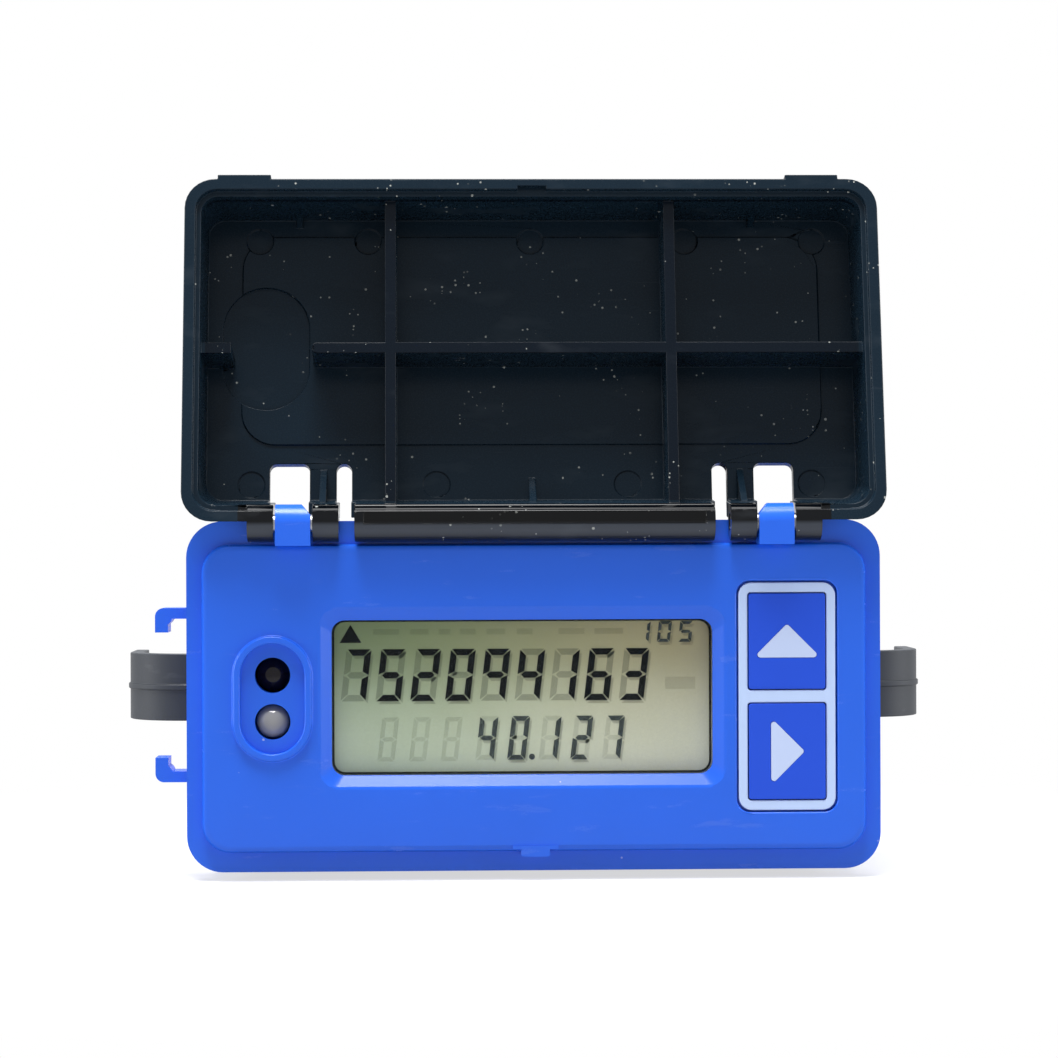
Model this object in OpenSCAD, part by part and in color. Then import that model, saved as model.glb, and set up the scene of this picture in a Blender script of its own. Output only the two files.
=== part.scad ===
// Battery-powered ultrasonic flow meter head with a hinged lid.
// X runs to the right, the display faces -Y and Z is up.
// The origin is the middle of the bottom face that the housing stands on.

/* [Housing] */
// Width of the front rim
front_w = 96; // [90:0.5:110]
// Height of the front rim
front_h = 48.4; // [47:0.2:56]
// Radius of the front rim's corners
corner_r = 5; // [3:0.5:6]
// Depth from the rim's front face to the back
case_depth = 36; // [34:0.5:44]
// Thickness of the front rim
flange_t = 3; // [2:0.25:4]
// How far the sides of the case lie inside the rim
side_inset = 2; // [1:0.25:3]
// How far the top of the case lies below the rim's top
top_inset = 2.5; // [2:0.25:3]
// Wall thickness of both housing shells
wall = 2; // [1.6:0.1:2.4]
// Thickness of the front shell behind the raised face
front_wall = 3.2; // [3:0.1:4]
// How far the raised face stands in front of the rim
face_rise = 2; // [1.5:0.1:2.4]
// Margin of the raised face inside the rim at the sides
face_side = 2.2; // [1.8:0.1:3]
// Height of the raised face's lower edge above the base
face_low = 2.8; // [2.2:0.1:3.2]
// Radius of the rounded front edge of the raised face
face_round = 0.9; // [0.4:0.1:1.2]

/* [Display] */
// Distance from the rim's left side to the visible window
window_left_in = 20; // [19.5:0.1:24]
// Distance from the rim's right side to the visible window
window_right_in = 23.4; // [23:0.1:26]
// Distance from the window to the raised face's upper and lower edge
window_margin = 10.5; // [9.5:0.1:12]
// Width of the sloped frame round the window
bezel_slope = 1.65; // [1:0.05:2]
// Thickness of the clear window
window_t = 1.5; // [1:0.1:2]
// Thickness of the display glass
lcd_t = 1.8; // [1.2:0.1:2.2]

/* [Keypad] */
// Width of the pale key frame
keypad_w = 13.4; // [12.6:0.1:14]
// Distance from the key frame to the raised face's upper and lower edge
keypad_margin = 5.5; // [5:0.1:7]
// Distance from the rim's right side to the key frame's middle
keypad_in = 13.2; // [12.6:0.1:14]
// Width of the key frame beside the keys
key_side = 1.4; // [1.2:0.05:1.8]
// Height of the key frame above and below the keys
key_rim = 1.5; // [1.2:0.05:2]
// Height of the bar between the keys
key_bar = 2; // [1.8:0.05:3]
// How far a key goes in when it is pressed
key_travel = 0.4; // [0.2:0.05:0.5]
// Running gap round each key
key_gap = 0.15; // [0.1:0.05:0.3]

/* [Optical port] */
// Width of the raised oval ring
port_w = 10.8; // [10:0.1:12]
// Height of the raised oval ring
port_h = 17.2; // [16.6:0.1:18]
// Distance from the rim's left side to the ring's middle
port_in = 11.9; // [11:0.1:12.4]
// Thickness of the ring's wall
port_wall = 1; // [0.8:0.1:1.3]
// How far the ring stands out of the raised face
port_rise = 0.7; // [0.4:0.1:0.9]
// Distance between the two optical holes
port_pitch = 6.4; // [6:0.1:6.8]
// Radius of each optical hole
port_hole_r = 2.45; // [2.2:0.05:2.6]

/* [Hinge] */
// Radius of the hinge barrels
barrel_r = 2.6; // [2.2:0.1:2.8]
// Radius of the hinge pins
pin_r = 1.2; // [1:0.05:1.4]
// Radial running gap between a pin and its hook
pin_gap = 0.05; // [0.03:0.01:0.08]
// Width of the slots beside the long middle barrel
slot_w = 2.15; // [1.6:0.05:3]
// Width of each hinge hook
hook_w = 4.8; // [4:0.1:5]
// Distance from the rim's side to each hinge hook's middle
hook_in = 14.9; // [14.2:0.1:15.6]
// Width of the knuckles beside each hook
knuckle_w = 3.6; // [3:0.1:4]
// How far past upright the open lid leans back, in degrees
lid_lean = 12; // [8:1:15]

/* [Lid] */
// Depth of the lid from its rim to its outer face
lid_depth = 12.7; // [12:0.1:15]
// Thickness of the lid's walls at the rim
lid_wall = 1.5; // [1.2:0.1:2]
// Thickness of the lid's outer panel
lid_floor = 1.8; // [1.4:0.1:2.2]
// Thickness of the lid's stiffening ribs
rib_t = 1.5; // [1:0.1:1.8]
// Distance of the rib tips behind the lid's rim
rib_drop = 2.8; // [2.6:0.1:4]
// How far the lid's free edge hangs below the housing
lid_overhang = 0.5; // [0.4:0.1:1]
// Length of each hinge window in the lid, from the hinge axis
lid_window_len = 10.3; // [8:0.1:11]

/* [Mounting] */
// How far the black bow stands out past the rim at each side
bow_reach = 12; // [8:0.5:17]
// Height of the bow's band
bow_h = 10; // [8:0.5:12]
// Thickness of the bow's band
bow_t = 2; // [1.6:0.1:3]
// Depth of the bow behind the housing
bow_depth = 18; // [15:0.5:30]
// Outer radius of the bow's two bends
bow_r = 9; // [6:0.5:10]
// How far the side rail hooks stand out of the case
rail_reach = 6.6; // [5:0.2:8]
// Height of the rail slot between the two hooks
rail_gap = 21.2; // [16:0.2:24]
// Radius of the cable hole in the gland
cable_r = 2.3; // [1.8:0.1:2.6]

/* [Hidden] */
$fn = 64;
// Facet count of circles inside a hull
soft_fn = 32;
// Overrun of every cut
cut = 0.5;
// Gap between pieces that don't touch
gap = 0.3;

// Depth stations, from front to back
rim_y = -case_depth / 2;
back_y = case_depth / 2;
face_y = rim_y - face_rise;
flange_back_y = rim_y + flange_t;
seal_t = 0.8;
front_shell_share = 0.4;
split_y = rim_y + case_depth * front_shell_share;
cavity_y = face_y + front_wall;
back_wall_y = back_y - wall;

// Case behind the rim
case_w = front_w - 2 * side_inset;
case_h = front_h - top_inset;
case_z = case_h / 2;
case_r = corner_r - side_inset / 2;
inner_w = case_w - 2 * wall;
inner_h = case_h - 2 * wall;
inner_r = case_r - wall / 2;

// Hinge axis, in front of the rim
axis_y = rim_y - barrel_r - gap;
axis_z = front_h - gap;

hook_x = front_w / 2 - hook_in;

// Raised face
face_w = front_w - 2 * face_side;
face_top = axis_z - barrel_r - gap;
face_h = face_top - face_low;
face_z = face_low + face_h / 2;
face_r = corner_r - face_side / 2;

// Display
window_w = front_w - window_left_in - window_right_in;
window_h = face_h - 2 * window_margin;
window_x = (window_left_in - window_right_in) / 2;
window_z = face_z;
bezel_r = 2.4;
window_r = 1.8;
bezel_depth = 1.15;
window_lap = 1.5;
window_y = face_y + wall;
lcd_y = window_y + window_t + gap / 2;
lcd_w = window_w + window_lap;
lcd_h = window_h + window_lap;
reflector_t = 2.2;
reflector_y = lcd_y + lcd_t;
lcd_frame_wall = 1.2;
strip_t = 1.6;

// Keypad
keypad_r = 1.8;
keypad_x = front_w / 2 - keypad_in;
keypad_z = face_z;
keypad_h = face_h - 2 * keypad_margin;
key_w = keypad_w - 2 * key_side;
key_h = (keypad_h - key_bar - 2 * key_rim) / 2;
key_pitch = key_h + key_bar;
keypad_t = 1.2;
keypad_gap = 0.25;
key_r = 0.4;
key_t = 1;
key_proud = 0.1;
key_floor_gap = key_travel + gap;
key_floor_y = face_y - key_proud + key_t + key_floor_gap;
stem_r = 1.6;
stem_gap = 0.3;
arrow_t = 0.3;
arrow_round = 0.4;
inlay_gap = 0.04;
arrow_w_share = 0.77;
arrow_h_share = 0.34;
arrow_w = key_w * arrow_w_share;
arrow_h = key_h * arrow_h_share;

// Optical port
port_x = port_in - front_w / 2;
port_z = face_z;
port_floor = 0.6;
led_gap = 0.1;
led_len = 6;
led_flange_r = 2.9;
led_flange_t = 1;
receiver_sink = 1.4;
emitter_sink = 0.3;
leg_r = 0.25;
leg_pitch = 2.54;

// Catch at the raised face's lower edge
catch_w = 4;
catch_rise = 0.6;
catch_top = face_low + catch_rise;
catch_proud = 0.15;
catch_bar_w = 6.3;
catch_bar_h = 0.5;
catch_r = 0.4;

// Screw bosses in the case's corners
boss_r = 3.1;
boss_in = 4.6;
screw_r = 1.25;
screw_hole_r = 1.6;
screw_head_r = 2.7;
screw_head_t = 2;
screw_sink = 2.4;
screw_grip = 6;
cross_len_share = 1.3;
cross_w_share = 0.25;

// Board and its posts
board_t = 1.6;
board_drop = 9.2;
board_y = rim_y + board_drop;
board_back_y = board_y + board_t;
board_r = 2.4;
board_w = inner_w - 3 * wall;
board_h = inner_h - wall;
board_notch = 8;
post_in_x = 9;
post_x = board_w / 2 - board_notch - post_in_x;
post_r = 2.2;
post_in = 3;
board_screw_r = 0.9;
board_head_r = 1.9;
board_head_t = 1.4;
board_grip = 4;

// Switches behind the keys
switch_w = 6;
switch_t = 3;
plunger_r = 1.7;
plunger_h = 0.8;
stem_end_y = board_y - switch_t - plunger_h - key_travel - gap;

// Parts on the back of the board
upper_z = case_z + inner_h / 4;
chip_w = 12;
chip_t = 1.6;
chip_share = -0.1;
chip_x = board_w * chip_share;
tdc_w = 7;
tdc_share = 0.07;
tdc_x = board_w * tdc_share;
crystal_r = 1.1;
crystal_len = 6;
crystal_step = 12;
crystal_x = chip_x - crystal_step;
cap_w = 2;
cap_h = 1.3;
cap_pitch_share = 0.039;
cap_pitch = board_w * cap_pitch_share;
cap_count = 4;
terminal_w = 15;
terminal_h = 8;
terminal_t = 9;
terminal_in = 14;
terminal_x = board_w / 2 - terminal_in;
terminal_count = 4;
terminal_pitch = terminal_w / terminal_count;
terminal_hole_r = 1.25;

// Battery along the bottom of the case
battery_pad_t = 4.1;
pad_edge_r = 1;
battery_r = (back_wall_y - board_back_y - battery_pad_t) / 2 - gap;
battery_len_share = 0.574;
battery_len = inner_w * battery_len_share;
battery_share = -0.136;
battery_x = inner_w * battery_share;
battery_z = wall + battery_r + gap;
battery_y = back_wall_y - battery_r - 2 * gap;
battery_cap_r = 3;
battery_cap_t = 1;
saddle_share = 0.32;
saddle_x = battery_len * saddle_share;
saddle_t = 2;
saddle_gap = 0.1;
lead_r = 0.7;
lead_drop = 5.6;
lead_y = board_back_y + lead_drop;
lead_pitch = 1.7;
lead_bend = 1.5;
plug_w = 6;
plug_h = 5;
plug_t = 7.3;
plug_z = upper_z - plug_w / 3;

// Gland in the top of the rear shell
gland_side_in = 26.5;
gland_x = front_w / 2 - gland_side_in;
gland_in = 10;
gland_y = back_y - gland_in;
gland_r = 4;
gland_hole_gap = 0.1;
gland_hex_r = 6.2;
gland_hex_t = 2.4;
gland_nut_r = 5.6;
gland_nut_h = 6.2;
gland_bore_r = 3.2;
gland_tail = 3.6;
locknut_t = 2;
thread_gap = 0.05;
gland_rim = 0.5;
gland_cone_share = 0.6;

// Lid measures in its closed place
lid_gap = 0.4;
lid_rim_y = rim_y - lid_gap;
lid_face_y = lid_rim_y - lid_depth;
lid_open = 180 + lid_lean;
lid_rim_a = lid_rim_y - axis_y;
// The rim's hinge edge, which the open lid holds just below the housing's top and in front of it
lid_dip = 0.05;
lid_edge_b = (lid_rim_a * sin(lid_lean) - (front_h - axis_z) + lid_dip) / cos(lid_lean);
lid_top = axis_z + lid_edge_b;
lid_low = -lid_overhang;
// The hinge wall's slope, so that the open lid's wall clears the housing's top behind the rim
lid_run = rim_y - gap - axis_y + lid_rim_a * cos(lid_lean) + lid_edge_b * sin(lid_lean);
lid_slope = tan(lid_lean + atan((lid_dip + gap) / lid_run));
lid_corner_share = 0.84;
lid_inset_share = 0.8;
lid_r = corner_r * lid_corner_share;
lid_side = 0.35;
leaf = 0.05;
lid_draft = 0.5;
lid_round = 1;
lid_step = 0.7;
lid_step_d = 1;
// Lower edge of the catch tab, clear of the closed lid's stepped wall
catch_low = lid_low + lid_wall + lid_step + gap + lid_draft * face_rise / lid_depth;
knuckle_gap = 0.25;
window_shift = 0.9;
window_half = 2.8;
window_corner = 1;
slot_shift = 0.6;
mouth_share = 0.8;
hook_sink = 0.2;
hook_chamfer_w = 1.3;
hook_chamfer_h = 1.5;
pin_end_wall = 0.8;
inner_knuckle_x = hook_x - hook_w / 2 - knuckle_gap - knuckle_w;
outer_knuckle_x = hook_x + hook_w / 2 + knuckle_gap;
barrel_half = inner_knuckle_x - slot_w;
groove_h = 1.8;
groove_d = 1.2;
groove_low = 0.2;
groove_end = 1.2;
rib_left_in = 28.2;
rib_right_in = 28.7;
rib_left_x = rib_left_in - front_w / 2;
rib_right_x = front_w / 2 - rib_right_in;
rib_mid_u = 25;
rib_mid_z = axis_z - rib_mid_u;
rib_mid_reach = 10.2;
rib_mid_x = rib_left_x - rib_mid_reach;
rib_stub = 4.6;
gusset_t = 0.9;
gusset_len = 2.7;
gusset_drop = 4.5;
gusset_tip_share = 0.25;
gusset_left_in = 15.2;
gusset_right_in = 16.4;
hinge_gusset_shift = 0.6;
hinge_gusset_x = inner_knuckle_x + knuckle_w / 2 + hinge_gusset_shift;
hinge_gusset_len = 6.2;
middle_gusset_len = 4.9;
hinge_gusset_drop = 5.3;
pad_step = 0.3;
lobe_step = 0.4;
pad_left_in = 7.2;
pad_right_in = 7;
pad_left = pad_left_in - front_w / 2;
pad_right = front_w / 2 - pad_right_in;
pad_r = 4.8;
pad_low_u = 43.4;
pad_top_u = 13;
lobe_in = 10.6;
lobe_w = 12.2;
lobe_h = 17.9;
lobe_u = 27;
mark_r = 1.9;
mark_d = 0.15;
mark_low = 5.8;
mark_top_u = 7.3;
low_mark_shares = [-0.40, -0.24, 0, 0.23, 0.42];
top_mark_shares = [-0.41, -0.14, 0.14, 0.41];
lip_w = 7.4;
lip_left_in = 7.9;
lip_right_in = 8.8;
lip_rise = 0.6;
lip_depth = 2;

// Side rail hooks
rail_t = 1.5;
rail_leg = 1.8;
rail_drop = 1.9;
rail_depth = 5;
rail_r = 1.2;
rail_z = face_z + gap;
rail_y = flange_back_y + gap;

// Bow behind the housing
bow_w = front_w + 2 * bow_reach;
bow_z = face_z - gap;
bow_in_r = bow_r - bow_t;
bow_seam = 0.25;
bow_y = back_y + bow_seam;
bow_seam_h = 0.8;
bow_screw_share = 0.156;
bow_screw_x = front_w * bow_screw_share;
bow_hole_r = 1.7;
bow_head_r = 2.8;
bow_head_t = 1.8;
bow_slot_w = 6;
bow_slot_h = 2.4;
bow_slot_in = 3;

blue = [0.10, 0.28, 0.82];
key_blue = [0.16, 0.24, 0.72];
pale = [0.72, 0.76, 0.90];
black = [0.06, 0.065, 0.075];
green = [0.10, 0.38, 0.18];
steel = [0.72, 0.73, 0.74];

// Flat shapes

// Rectangle with round corners
module rounded(w, h, r) {
    square([w - 2 * r, h], center = true);
    square([w, h - 2 * r], center = true);
    for (i = [-1, 1], j = [-1, 1])
        translate([i * (w / 2 - r), j * (h / 2 - r)]) circle(r);
}

// Upright oval with straight sides and half-round ends
module oval(w, h) {
    square([w, h - w], center = true);
    for (j = [-1, 1]) translate([0, j * (h - w) / 2]) circle(w / 2);
}

// Triangle that points along +Y, with round corners
module arrow_shape(w, h, r) {
    hull() {
        translate([0, h / 2 - r]) circle(r, $fn = soft_fn);
        for (i = [-1, 1]) translate([i * (w / 2 - r), r - h / 2]) circle(r, $fn = soft_fn);
    }
}

// Solids that face the front: a flat shape in X and Z, from depth y backwards by t
module from_front(y, t, x = 0, z = 0) {
    translate([x, y + t, z]) rotate([90, 0, 0]) linear_extrude(t) children();
}

module slab(w, h, r, y, t, x, z) {
    from_front(y, t, x, z) rounded(w, h, r);
}

// Round pin or hole along Y, from depth y backwards by t
module rod_y(r, y, t, x, z) {
    translate([x, y, z]) rotate([-90, 0, 0]) cylinder(r = r, h = t);
}

// Round pin or hole along X, from x to the right by len
module rod_x(r, x, len, y, z) {
    translate([x, y, z]) rotate([0, 90, 0]) cylinder(r = r, h = len);
}

// Box by its lowest corner and size
module box_at(x, y, z, dx, dy, dz) {
    translate([x, y, z]) cube([dx, dy, dz]);
}

// Copies at the case's four screw places
module at_bosses() {
    for (i = [-1, 1], j = [-1, 1])
        translate([i * (case_w / 2 - boss_in), 0, case_z + j * (case_h / 2 - boss_in)]) children();
}

// Copies at the board's four screw places
module at_posts() {
    for (i = [-1, 1], j = [-1, 1])
        translate([i * post_x, 0, case_z + j * (inner_h / 2 - post_in)]) children();
}

// Copies at the two keys, for what is alike behind both
module at_keys() {
    for (j = [-1, 1]) translate([0, 0, j * key_pitch / 2]) children();
}

// Housing

// Raised face with a rounded front edge
module raised_face() {
    hull() {
        for (s = [0, 0.5, 1]) {
            in = face_round * (1 - cos(90 * s));
            back = face_round * (1 - sin(90 * s));
            slab(face_w - 2 * in, face_h - 2 * in, face_r - in / 2, face_y + back,
                 face_rise + flange_t / 2 - back, 0, face_z, $fn = soft_fn);
        }
    }
}

// Sloped recess round the window
module bezel_cut() {
    hull() {
        slab(window_w + 2 * bezel_slope, window_h + 2 * bezel_slope, bezel_r, face_y - cut,
             cut, window_x, window_z, $fn = soft_fn);
        slab(window_w, window_h, window_r, face_y + bezel_depth - cut / 2, cut / 2,
             window_x, window_z, $fn = soft_fn);
    }
    slab(window_w, window_h, window_r, face_y, front_wall + cut, window_x, window_z);
    // Rebate that the window sits in, from behind
    slab(window_w + 2 * window_lap + gap / 2, window_h + 2 * window_lap + gap / 2, window_r, window_y,
         front_wall, window_x, window_z);
}

// Recess and stem holes behind the keys
module keypad_cut() {
    slab(keypad_w + 2 * keypad_gap, keypad_h + 2 * keypad_gap, keypad_r, face_y - cut,
         keypad_t + cut, keypad_x, keypad_z);
    translate([keypad_x, 0, keypad_z]) at_keys() {
        slab(key_w + 2 * key_gap, key_h + 2 * key_gap, key_r, face_y, key_floor_y - face_y, 0, 0);
        rod_y(stem_r + stem_gap, face_y, front_wall + cut, 0, 0);
    }
}

// Raised oval ring with a sunk floor
module port_ring() {
    from_front(face_y - port_rise, port_rise + front_wall, port_x, port_z) oval(port_w, port_h);
}

module port_cut() {
    from_front(face_y - port_rise - cut, port_rise + port_floor + cut, port_x, port_z)
        oval(port_w - 2 * port_wall, port_h - 2 * port_wall);
    for (j = [-1, 1])
        rod_y(port_hole_r, face_y, front_wall + cut, port_x, port_z + j * port_pitch / 2);
}

// Hook that the hinge pin snaps into, open towards the back
module hinge_hook() {
    foot_z = face_top - hook_sink;
    front_in = axis_y - barrel_r;
    difference() {
        union() {
            rod_x(barrel_r, hook_x - hook_w / 2, hook_w, axis_y, axis_z);
            box_at(hook_x - hook_w / 2, front_in, foot_z, hook_w, rim_y - front_in,
                   axis_z - foot_z);
        }
        rod_x(pin_r + pin_gap, hook_x - hook_w / 2 - cut, hook_w + 2 * cut, axis_y, axis_z);
        // Mouth for the pin, a little narrower than the pin
        translate([hook_x - hook_w / 2 - cut, axis_y, axis_z]) rotate([45, 0, 0])
            translate([0, 0, -pin_r * mouth_share])
                cube([hook_w + 2 * cut, 2 * barrel_r, 2 * pin_r * mouth_share]);
        // Slanted corner on the side towards the middle
        from_front(axis_y - 2 * barrel_r, 4 * barrel_r, hook_x - hook_w / 2, axis_z + barrel_r)
            polygon([[-cut, -hook_chamfer_h], [0, -hook_chamfer_h], [hook_chamfer_w, 0],
                     [hook_chamfer_w, cut], [-cut, cut]]);
    }
}

// Hook of the side rail; side is 1 for the upper and -1 for the lower
module rail_hook(side) {
    translate([-case_w / 2, rail_y, rail_z + side * rail_gap / 2]) mirror([0, 0, side < 0 ? 1 : 0])
        rotate([-90, 0, 0]) linear_extrude(rail_depth) mirror([0, 1]) {
            translate([-rail_reach + rail_r, 0]) square([rail_reach - rail_r + wall / 2, rail_t]);
            translate([-rail_reach, -rail_drop]) square([rail_leg, rail_drop + rail_t - rail_r]);
            translate([-rail_reach + rail_r, rail_t - rail_r]) circle(rail_r);
        }
}

module front_housing() {
    color(blue) difference() {
        union() {
            slab(front_w, front_h, corner_r, rim_y, flange_t, 0, front_h / 2);
            slab(case_w, case_h, case_r, rim_y, split_y - seal_t / 2 - rim_y, 0, case_z);
            raised_face();
            port_ring();
            // Catch tab and the bar above it
            from_front(face_y - catch_proud, face_rise + flange_t / 2, 0, (catch_top + catch_low) / 2)
                rounded(catch_w, catch_top - catch_low, catch_r);
            from_front(face_y - catch_proud, face_rise + flange_t / 2, 0, catch_top)
                square([catch_bar_w, catch_bar_h], center = true);
            for (i = [0, 1]) mirror([i, 0, 0]) hinge_hook();
            for (side = [-1, 1]) rail_hook(side);
        }
        difference() {
            slab(inner_w, inner_h, inner_r, cavity_y, case_depth, 0, case_z);
            // What stays inside the shell: screw bosses and board posts
            at_bosses() rod_y(boss_r, cavity_y - cut, split_y - seal_t / 2 - cavity_y + cut, 0, 0);
            at_posts() rod_y(post_r, cavity_y - cut, board_y - cavity_y + cut, 0, 0);
        }
        bezel_cut();
        keypad_cut();
        port_cut();
        at_bosses() rod_y(screw_r, split_y - seal_t / 2 - screw_grip, case_depth, 0, 0);
        at_posts() rod_y(board_screw_r, board_y - board_grip, board_grip + cut, 0, 0);
    }
}

module rear_housing() {
    rear_y = split_y + seal_t / 2;
    color(blue) difference() {
        union() {
            difference() {
                hull() {
                    slab(case_w, case_h, case_r, rear_y, back_y - rear_y - face_round, 0, case_z,
                         $fn = soft_fn);
                    slab(case_w - 2 * face_round, case_h - 2 * face_round, case_r, rear_y,
                         back_y - rear_y, 0, case_z, $fn = soft_fn);
                }
                slab(inner_w, inner_h, inner_r, rear_y - cut, back_wall_y - rear_y + cut, 0,
                     case_z);
            }
            at_bosses() rod_y(boss_r, rear_y, back_y - rear_y - face_round, 0, 0);
            for (i = [-1, 1]) translate([i * bow_screw_x, 0, bow_z])
                rod_y(boss_r, back_wall_y - wall, wall + cut, 0, 0);
            // Saddles that carry the battery
            for (i = [-1, 1])
                box_at(battery_x + i * saddle_x - saddle_t / 2, battery_y, wall - cut, saddle_t,
                       back_wall_y - battery_y + cut, battery_z + battery_r / 2);
        }
        rod_x(battery_r + saddle_gap, battery_x - battery_len / 2, battery_len, battery_y,
              battery_z);
        at_bosses() {
            rod_y(screw_hole_r, rear_y - cut, case_depth, 0, 0);
            rod_y(screw_head_r + gap, back_y - screw_sink, screw_sink + cut, 0, 0);
        }
        for (i = [-1, 1])
            rod_y(screw_r, back_wall_y - wall / 2, 2 * wall, i * bow_screw_x, bow_z);
        translate([gland_x, gland_y, case_h - wall - cut])
            cylinder(r = gland_r + gland_hole_gap, h = wall + 2 * cut);
    }
}

module housing_seal() {
    color(black) difference() {
        slab(case_w - gap, case_h - gap, case_r, split_y - seal_t / 2, seal_t, 0, case_z);
        slab(inner_w + gap, inner_h + gap, inner_r, split_y - seal_t, 2 * seal_t, 0, case_z);
    }
}

module housing_screws() {
    head_y = back_y - screw_sink;
    tip_y = split_y - seal_t / 2 - screw_grip + gap;
    color(steel) at_bosses() {
        rod_y(screw_r, tip_y, head_y + screw_head_t / 2 - tip_y, 0, 0);
        difference() {
            rod_y(screw_head_r, head_y, screw_head_t, 0, 0);
            for (a = [0, 90]) rotate([0, a, 0])
                from_front(head_y + screw_head_t / 2, screw_head_t)
                    square(screw_head_r * [cross_len_share, cross_w_share], center = true);
        }
    }
}

// Lid, modelled closed and then turned back about the hinge

// Thin slice of the lid's outline at depth v from its rim, drawn in by inset
module lid_slice(v, inset) {
    top = lid_top - v * lid_slope - inset;
    low = lid_low + lid_draft * v / lid_depth + inset;
    half = front_w / 2 + lid_side - lid_draft * v / lid_depth - inset;
    slab(2 * half, top - low, lid_r - inset * lid_inset_share, lid_rim_y - v, leaf, 0, (top + low) / 2,
         $fn = soft_fn);
}

module lid_outer() {
    hull() {
        lid_slice(leaf, 0);
        for (s = [0, 0.5, 1])
            lid_slice(lid_depth - lid_round * (1 - sin(90 * s)), lid_round * (1 - cos(90 * s)));
    }
}

module lid_hollow() {
    hull() {
        lid_slice(-cut, lid_wall + lid_step);
        lid_slice(lid_depth - lid_floor, lid_wall + lid_step);
    }
    hull() {
        lid_slice(-cut, lid_wall);
        lid_slice(lid_step_d, lid_wall);
    }
}

// Slightly raised field inside the panel
module lid_field() {
    low = axis_z - pad_low_u;
    high = axis_z - pad_top_u;
    from_front(lid_face_y + lid_floor / 2, lid_floor / 2 + pad_step, (pad_left + pad_right) / 2,
               (low + high) / 2)
        rounded(pad_right - pad_left, high - low, pad_r);
}

// Sunk oval over the optical port
module lid_lobe() {
    from_front(lid_face_y + lid_floor - lobe_step, lobe_step + pad_step + cut,
               lobe_in - front_w / 2, axis_z - lobe_u)
        oval(lobe_w, lobe_h);
}

// Height of the middle of the wall at the free edge and at the hinge edge, at depth v
function mid_low(v) = lid_low + lid_draft * v / lid_depth + lid_wall / 2;
function mid_top(v) = lid_top - v * lid_slope - lid_wall / 2;

// Upright web in the Y and Z plane from its corners
module web(x, t, corners) {
    translate([x - t / 2, 0, 0]) rotate([90, 0, 90]) linear_extrude(t) polygon(corners);
}

module lid_ribs() {
    // Depths of the ribs' feet, inside the panel, and of their tips
    foot_v = lid_depth - lid_floor + cut;
    foot_y = lid_rim_y - foot_v;
    tip_y = lid_rim_y - rib_drop;
    gusset_y = lid_rim_y - gusset_drop;
    short_y = lid_rim_y - hinge_gusset_drop;
    for (x = [rib_left_x, rib_right_x])
        web(x, rib_t, [[foot_y, mid_low(foot_v)], [foot_y, mid_top(foot_v)],
                       [tip_y, mid_top(rib_drop)], [tip_y, mid_low(rib_drop)]]);
    box_at(rib_mid_x, foot_y, rib_mid_z - rib_t / 2, front_w / 2 - lid_wall / 2 - rib_mid_x,
           tip_y - foot_y, rib_t);
    rod_y(rib_t / 2, foot_y, tip_y - foot_y, rib_mid_x, rib_mid_z);
    box_at(lid_wall / 2 - front_w / 2, foot_y, rib_mid_z - rib_t / 2, rib_stub + lid_wall / 2,
           tip_y - foot_y, rib_t);
    for (x = [gusset_left_in - front_w / 2, front_w / 2 - gusset_right_in])
        web(x, gusset_t, [[foot_y, mid_low(foot_v)], [foot_y, mid_low(foot_v) + gusset_len],
                          [gusset_y, mid_low(gusset_drop) + gusset_len * gusset_tip_share],
                          [gusset_y, mid_low(gusset_drop)]]);
    for (i = [-1, 0, 1]) {
        len = i == 0 ? middle_gusset_len : hinge_gusset_len;
        web(i * hinge_gusset_x, gusset_t,
            [[foot_y, mid_top(foot_v)], [foot_y, mid_top(foot_v) - len],
             [short_y, mid_top(hinge_gusset_drop) - len * gusset_tip_share],
             [short_y, mid_top(hinge_gusset_drop)]]);
    }
}

// Round marks that the ejector pins leave on the panel
module lid_marks() {
    floor_y = lid_face_y + lid_floor;
    for (share = low_mark_shares)
        rod_y(mark_r, floor_y - mark_d, pad_step + cut, share * front_w, lid_low + mark_low);
    for (share = top_mark_shares)
        rod_y(mark_r, floor_y - mark_d, pad_step + cut, share * front_w, axis_z - mark_top_u);
}

// Cut with round lower corners, from x0 to x1 and open at the hinge edge
module edge_cut(x0, x1, r, y, depth) {
    low = axis_z - lid_window_len;
    height = lid_window_len + 2 * barrel_r;
    box_at(x0, y, low + r, x1 - x0, depth, height);
    if (x1 - x0 > 2 * r)
        box_at(x0 + r, y, low, x1 - x0 - 2 * r, depth, height);
    for (x = [x0 + r, x1 - r]) rod_y(r, y, depth, x, low + r);
}

// Windows over the hinge hooks and slots beside the barrel; in the panel they lie further out
module lid_windows() {
    back_depth = lid_depth / 2;
    back_y0 = lid_face_y - cut;
    front_y0 = lid_face_y + back_depth - cut;
    for (i = [0, 1]) mirror([i, 0, 0]) {
        edge_cut(hook_x + window_shift - window_half, hook_x + window_shift + window_half,
                 window_corner, back_y0, back_depth);
        edge_cut(inner_knuckle_x + slot_shift - slot_w, inner_knuckle_x + slot_shift, slot_w / 2,
                 back_y0, back_depth);
        box_at(hook_x - hook_w / 2 - knuckle_gap, front_y0, axis_z - lid_window_len / 2,
               hook_w + 2 * knuckle_gap, lid_depth, lid_window_len);
        box_at(barrel_half, front_y0, axis_z - lid_window_len / 2, slot_w, lid_depth,
               lid_window_len);
    }
}

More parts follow.
